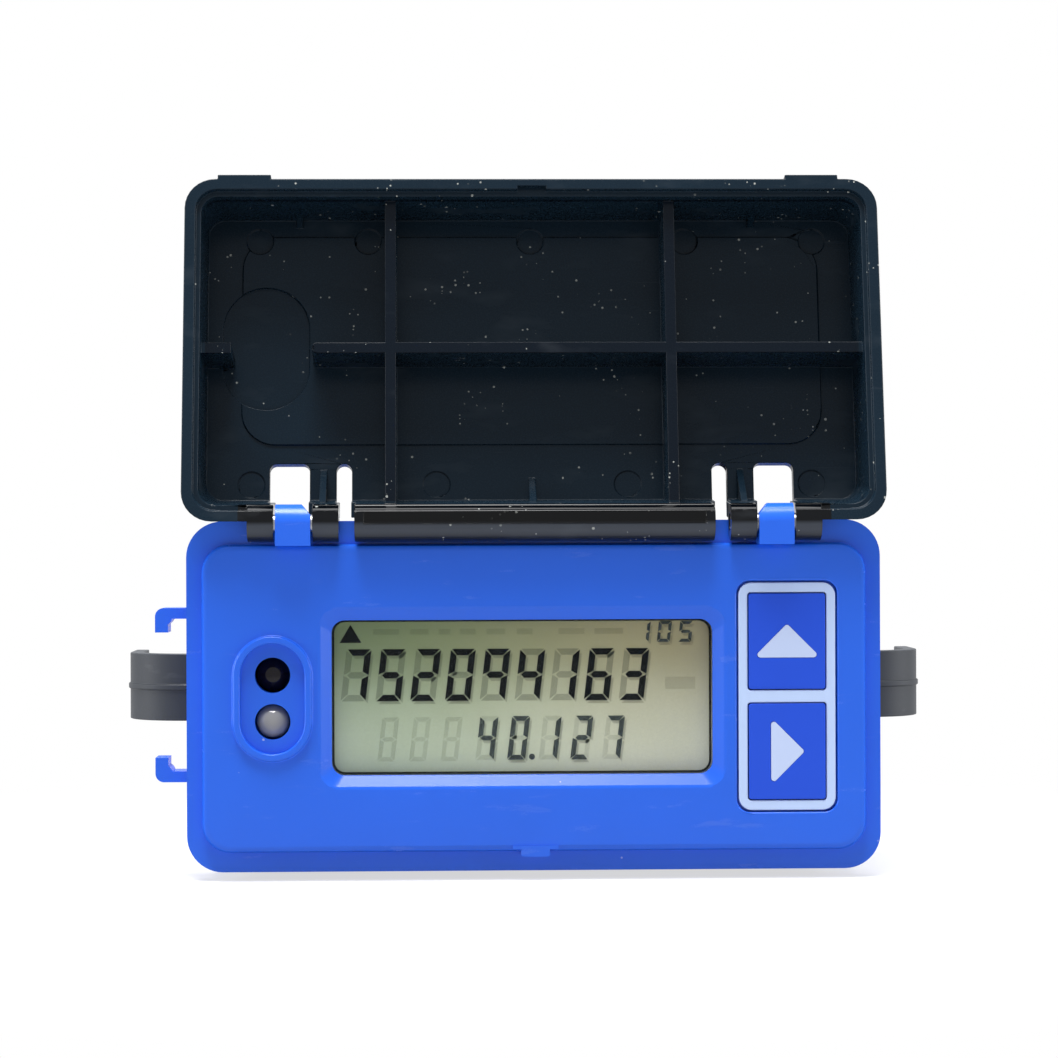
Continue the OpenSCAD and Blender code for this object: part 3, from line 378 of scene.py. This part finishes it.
# Marks the edges that the bevel takes: over an angle, within a box in millimetres and, for the
# lid, less than that depth behind the pins
def markTree(name, low, high, angle, depth=None):
    tree, start, end = meshTree(name)
    edge = tree.nodes.new("GeometryNodeInputMeshEdgeAngle")
    taken = Wire(tree, edge.outputs[0]) > math.radians(angle)
    split = tree.nodes.new("ShaderNodeSeparateXYZ")
    tree.links.new(tree.nodes.new("GeometryNodeInputPosition").outputs[0], split.inputs[0])
    place = [Wire(tree, split.outputs[i]) / mm for i in range(3)]
    for along, least, most in zip(place, low, high):
        taken = taken * (along > least) * (along < most)
    if depth:
        taken = taken * (behindPins(place[1], place[2]) < depth)
    store = tree.nodes.new("GeometryNodeStoreNamedAttribute")
    store.data_type = "FLOAT"
    store.domain = "EDGE"
    store.inputs["Name"].default_value = "bevel_weight_edge"
    tree.links.new(start.outputs[0], store.inputs["Geometry"])
    plug(tree, store.inputs["Value"], taken)
    tree.links.new(store.outputs[0], end.inputs[0])
    return tree


# Softens edges by a width in millimetres: all the steep ones, or those that marks chooses
def soften(obj, width, merge=True, marks=None):
    shade = obj.modifiers.new("shade", "NODES")
    shade.node_group = shading
    if width and merge:
        flat = obj.modifiers.new("flat", "DECIMATE")
        flat.decimate_type = "DISSOLVE"
        flat.angle_limit = math.radians(0.3)
    if marks:
        marked = obj.modifiers.new("marks", "NODES")
        marked.node_group = marks
    if width:
        bevel = obj.modifiers.new("soft", "BEVEL")
        bevel.width = width * mm
        bevel.segments = 2
        bevel.limit_method = "WEIGHT" if marks else "ANGLE"
        bevel.angle_limit = math.radians(35)
        bevel.harden_normals = True
        bevel.use_clamp_overlap = False
        # Flat faces stay flat, and the rounded strips between them take the turn
        weighted = obj.modifiers.new("normals", "WEIGHTED_NORMAL")
        weighted.mode = "FACE_AREA"
        weighted.keep_sharp = True


softEdges = {
    "front_housing": 0.25, "rear_housing": 0.1, "lid": 0.12, "key_frame": 0.15, "key_up": 0.1,
    "key_right": 0.1, "mounting_bow": 0.15, "gland_body": 0.1, "gland_nut": 0.08,
    "housing_screws": 0.15, "bow_screws": 0.2, "display_window": 0, "display_glass": 0,
    "optical_emitter": 0, "optical_receiver": 0, "hinge_pins": 0, "arrow_up": 0, "arrow_right": 0,
    "housing_seal": 0, "gland_seal": 0.1,
}
markTrees = {"front_housing": markTree("faceEdges", (-47, -20.9, 4.5), (47, -19.9, 44), 30),
             "lid": markTree("lidEdges", (-60, -23.1, 40), (60, 0, 100), 35, 9.7)}
for name, width in softEdges.items():
    soften(nodes[name], width, merge=name != "lid", marks=markTrees.get(name))
print("edges softened")


# Turns a finished bmesh into an object of the scene
def meshObject(name, mesh):
    data = bpy.data.meshes.new(name)
    mesh.to_mesh(data)
    mesh.free()
    obj = bpy.data.objects.new(name, data)
    scene.collection.objects.link(obj)
    return obj


# A thin upright plate from flat outlines in X and Z, in millimetres, with its front at depth y
def plate(name, outlines, y, thick, material):
    mesh = bmesh.new()
    for outline in outlines:
        corners = [mesh.verts.new((x * mm, y * mm, z * mm)) for x, z in outline]
        face = mesh.faces.new(corners)
        pulled = bmesh.ops.extrude_face_region(mesh, geom=[face])["geom"]
        moved = [item for item in pulled if isinstance(item, bmesh.types.BMVert)]
        bmesh.ops.translate(mesh, verts=moved, vec=(0, thick * mm, 0))
    bmesh.ops.recalc_face_normals(mesh, faces=mesh.faces)
    obj = meshObject(name, mesh)
    wear(obj, material)
    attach(obj, "housing")


# Ink of the liquid crystal, and thin dark sheets of painted shade; the ghosts are the segments
# that are switched off
def inkAndShade(name, alpha, tint):
    paint = Paint(name, Specular_IOR_Level=0.0, Roughness=0.6)
    paint.set(Base_Color=tint, Alpha=(paint.noise(2.5, 0.0) - 0.5) * 0.03 + alpha)
    return paint.material


inkDark = inkAndShade("inkDark", 0.97, colour(8, 12, 14))
inkGrey = inkAndShade("inkGrey", 0.8, colour(70, 79, 76))
inkGhost = inkAndShade("inkGhost", 0.12, colour(60, 74, 60))
inkFaint = inkAndShade("inkFaint", 0.05, colour(60, 74, 60))
# Painted shadow of the figures on the reflector
figureShadowPaint = inkAndShade("figureShadowPaint", 0.10, colour(50, 60, 46))

# The seven segments of a figure in a unit cell: ends of each bar, in the order top, upper right,
# lower right, bottom, lower left, upper left, middle
bars = [((0, 1), (1, 1)), ((1, 1), (1, 0.5)), ((1, 0.5), (1, 0)), ((1, 0), (0, 0)),
        ((0, 0), (0, 0.5)), ((0, 0.5), (0, 1)), ((0, 0.5), (1, 0.5))]
lit = {"0": "012345", "1": "12", "2": "01346", "3": "01236", "4": "1256", "5": "02356",
       "6": "023456", "7": "012", "8": "0123456", "9": "01256"}


# One bar as a flat outline: it runs along the cell's edge and is cut at 45 degrees at its ends
def barOutline(bar, x, z, width, height, stroke, slant):
    (ax, az), (bx, bz) = bars[bar]
    start = Vector((ax * width, az * height))
    end = Vector((bx * width, bz * height))
    along = (end - start).normalized()
    inward = (Vector((0.5 * width, 0.5 * height)) - (start + end) / 2)
    inward -= along * inward.dot(along)
    slit = stroke * 0.07
    if bar == 6:
        side = Vector((0, stroke / 2))
        nose = along * (stroke / 2 + slit)
        points = [start + along * slit, start + nose + side, end - nose + side,
                  end - along * slit, end - nose - side, start + nose - side]
        shift = along * (stroke / 2)
        points = [p + (shift if i in (0, 1, 5) else -shift) for i, p in enumerate(points)]
    else:
        inward = inward.normalized() * stroke
        # An end at the cell's corner is cut to the inside, one at the middle to half the stroke
        cuts = [stroke if az != 0.5 else stroke / 2, stroke if bz != 0.5 else stroke / 2]
        tips = [stroke * 0.18 if part != 0.5 else slit for part in (az, bz)]
        points = [start + along * tips[0], end - along * tips[1],
                  end - along * (cuts[1] + slit) + inward,
                  start + along * (cuts[0] + slit) + inward]
    return [(x + p.x + p.y * slant, z + p.y) for p in points]


# The outlines of a row of figures, or of its switched-off segments
def figures(text, x, z, width, height, pitch, stroke, slant, on=True):
    outlines = []
    for place, figure in enumerate(text):
        left = x + place * pitch
        for bar in range(7):
            if (str(bar) in lit[figure]) == on:
                outlines.append(barOutline(bar, left, z, width, height, stroke, slant))
    return outlines


# Millimetres: the ink's gap to the glass and its thickness, and the lean of the figures
display = dict(gapY=0.05, thick=0.02, slant=0.12)
inkY = glassLow.y / mm - display["gapY"] - display["thick"]
inkThick = display["thick"]
slant = display["slant"]
rowOne = dict(text="752094163", x=-26.85, z=23.4, width=3.45, height=7.2, pitch=4.82,
              stroke=0.88, slant=slant)
rowTwo = dict(text="40127", x=-8.2, z=15.2, width=2.5, height=6.05, pitch=4.39, stroke=0.66,
              slant=slant)
rowTop = dict(text="105", x=14.1, z=31.45, width=1.8, height=2.9, pitch=2.95, stroke=0.42,
              slant=slant)
plate("rowOne", figures(**rowOne), inkY, inkThick, inkDark)
point = dict(x=-0.35, z=15.6, radius=0.42, corners=12)
turns = [2 * math.pi * i / point["corners"] for i in range(point["corners"])]
dot = [(point["x"] + point["radius"] * math.cos(turn),
        point["z"] + point["radius"] * math.sin(turn)) for turn in turns]
plate("rowTwo", figures(**rowTwo) + [dot], inkY, inkThick, inkGrey)
plate("rowTop", figures(**rowTop), inkY, inkThick, inkGrey)
plate("pointer", [[(-26.95, 31.5), (-23.95, 31.5), (-25.45, 34.0)]], inkY, inkThick, inkDark)

# Switched-off segments, and a painted shadow of the figures on the reflector
plate("ghosts", figures(on=False, **rowOne), inkY, inkThick, inkGhost)
ghosts = figures(on=False, **rowTwo)
ghosts += figures(text="8" * 3, x=-21.8, z=15.05, width=2.35, height=6.1, pitch=4.39, stroke=0.6,
                  slant=slant)
ghosts += [[(x, 32.6), (x + w, 32.6), (x + w, 33.4), (x, 33.4)]
           for x, w in ((-22.3, 3.6), (-17.2, 2.6), (-13.2, 1.6), (-10.3, 2.2), (-6.6, 2.6),
                        (-2.4, 2.2), (3.4, 3.6), (8.4, 4.0))]
ghosts += [[(18.2, 24.9), (22.4, 24.9), (22.4, 26.6), (18.2, 26.6)]]
plate("faintGhosts", ghosts, inkY, inkThick, inkFaint)


# Painted shade: a dark ring just inside the window's opening, where the gap round the display
# falls into shade, as short pieces round a rounded rectangle
def border(left, low, right, high, radius, thick, steps=6):
    middles = [(right - radius, high - radius), (left + radius, high - radius),
               (left + radius, low + radius), (right - radius, low + radius)]
    outer, inner = [], []
    for turn, (x, z) in enumerate(middles):
        for i in range(steps + 1):
            angle = (turn + i / steps) * math.pi / 2
            for ring, r in ((outer, radius), (inner, radius - thick)):
                ring.append((x + r * math.cos(angle), z + r * math.sin(angle)))
    count = len(outer)
    return [[outer[i], outer[(i + 1) % count], inner[(i + 1) % count], inner[i]]
            for i in range(count)]


opening = dict(lap=1.5, radius=1.8, edge=0.3)
lap = opening["lap"]
# Painted shade: a thin dark ring along the opening's inner edge, on a sheet just in front of the
# ink
plate("paintedWindowShade",
      border(windowLow.x / mm + lap, windowLow.z / mm + lap, windowHigh.x / mm - lap,
             windowHigh.z / mm - lap, opening["radius"], opening["edge"]),
      inkY - 0.03, 0.02, inkAndShade("paintedEdgeShade", 0.7, colour(30, 34, 30)))
# Painted shadow: dark copies of all the figures, shifted right and down, on a thin sheet just
# behind the ink
shadeShift = (0.28, -0.42)
paintedShadows = [[(x + shadeShift[0], z + shadeShift[1]) for x, z in outline]
          for outline in figures(**rowOne) + figures(**rowTwo) + figures(**rowTop)]
plate("paintedFigureShadows", paintedShadows, inkY + inkThick + 0.005, 0.015, figureShadowPaint)
print("display filled in")


# Rays that see the white background: from the camera, and by reflection or through glass
def seenRays(tree):
    ray = tree.nodes.new("ShaderNodeLightPath")
    seen = Wire(tree, ray.outputs["Is Camera Ray"])
    for kind in ("Is Glossy Ray", "Is Transmission Ray"):
        seen = seen.math("MAXIMUM", Wire(tree, ray.outputs[kind]))
    return seen


# The floor's paint: pure white to the rays above, and a diffuse bounce to all others
def stagePaint(name, seen, lit, bounce):
    made = bpy.data.materials.new(name)
    made.use_nodes = True
    tree = made.node_tree
    tree.nodes.clear()
    output = tree.nodes.new("ShaderNodeOutputMaterial")
    blend = tree.nodes.new("ShaderNodeMixShader")
    glow = tree.nodes.new("ShaderNodeEmission")
    glow.inputs["Color"].default_value = seen
    skin = tree.nodes.new("ShaderNodeBsdfDiffuse")
    skin.inputs["Color"].default_value = lit
    # Close to the object the floor keeps part of its own shade, with the object's shadow
    where = tree.nodes.new("ShaderNodeTexCoord")
    length = tree.nodes.new("ShaderNodeVectorMath")
    length.operation = "LENGTH"
    tree.links.new(where.outputs["Object"], length.inputs[0])
    near = Wire(tree, length.outputs["Value"]).step(0.16, 0.05)
    dim = tree.nodes.new("ShaderNodeBsdfDiffuse")
    dim.inputs["Color"].default_value = bounce
    view = tree.nodes.new("ShaderNodeMixShader")
    plug(tree, view.inputs[0], near * 0.35)
    tree.links.new(glow.outputs[0], view.inputs[1])
    tree.links.new(skin.outputs[0], view.inputs[2])
    plug(tree, blend.inputs[0], seenRays(tree))
    tree.links.new(dim.outputs[0], blend.inputs[1])
    tree.links.new(view.outputs[0], blend.inputs[2])
    tree.links.new(blend.outputs[0], output.inputs["Surface"])
    return made


floorHalf = 3.0
floorZ = -0.0012
floorMesh = bmesh.new()
floorMesh.faces.new([floorMesh.verts.new((x * floorHalf, y * floorHalf, floorZ))
                     for x, y in ((-1, -1), (1, -1), (1, 1), (-1, 1))])
floor = meshObject("floor", floorMesh)
wear(floor, stagePaint("floorPaint", (1, 1, 1, 1), (0.9, 0.9, 0.9, 1), (0.45, 0.45, 0.45, 1)))

world = bpy.data.worlds.new("room")
scene.world = world
world.use_nodes = True
worldTree = world.node_tree
worldTree.nodes.clear()
worldOut = worldTree.nodes.new("ShaderNodeOutputWorld")
room = worldTree.nodes.new("ShaderNodeBackground")
room.inputs["Color"].default_value = (0.93, 0.96, 1.0, 1.0)
room.inputs["Strength"].default_value = 0.2
plain = worldTree.nodes.new("ShaderNodeBackground")
plain.inputs["Color"].default_value = (1, 1, 1, 1)
plain.inputs["Strength"].default_value = 1.0
pick = worldTree.nodes.new("ShaderNodeMixShader")
plug(worldTree, pick.inputs[0], seenRays(worldTree))
worldTree.links.new(room.outputs[0], pick.inputs[1])
worldTree.links.new(plain.outputs[0], pick.inputs[2])
worldTree.links.new(pick.outputs[0], worldOut.inputs["Surface"])


# A soft rectangular light that faces a point
def softLight(name, place, target, width, height, power):
    lamp = bpy.data.lights.new(name, "AREA")
    lamp.shape = "RECTANGLE"
    lamp.size = width
    lamp.size_y = height
    lamp.energy = power
    obj = bpy.data.objects.new(name, lamp)
    obj.location = place
    obj.rotation_euler = (Vector(target) - Vector(place)).to_track_quat("-Z", "Y").to_euler()
    scene.collection.objects.link(obj)


middle = (0, 0, 0.045)
softLight("keyLight", (-0.15, -0.22, 1.0), middle, 0.6, 0.35, 17.0)
softLight("leftLight", (-0.8, -0.1, 0.2), middle, 0.5, 0.5, 5.0)
softLight("rightLight", (0.8, -0.1, 0.2), middle, 0.5, 0.5, 5.0)
softLight("topLight", (0.0, 0.15, 1.0), middle, 0.9, 0.5, 9.0)

camera = bpy.data.cameras.new("camera")
camera.sensor_width = 36
camera.lens = 105.8
cameraObj = bpy.data.objects.new("camera", camera)
# The photo is taken from a little to the left, with a slight tilt
view = dict(aim=(-0.0007, -0.018, 0.0472), distance=0.430, turn=math.radians(1.8),
            tilt=math.radians(0.2))
cameraObj.location = (view["aim"][0] - view["distance"] * math.sin(view["turn"]),
                      view["aim"][1] - view["distance"] * math.cos(view["turn"]), view["aim"][2])
cameraObj.rotation_euler = (math.radians(90), view["tilt"], -view["turn"])
scene.collection.objects.link(cameraObj)
scene.camera = cameraObj
scene.view_settings.view_transform = "Standard"
print("stage set")
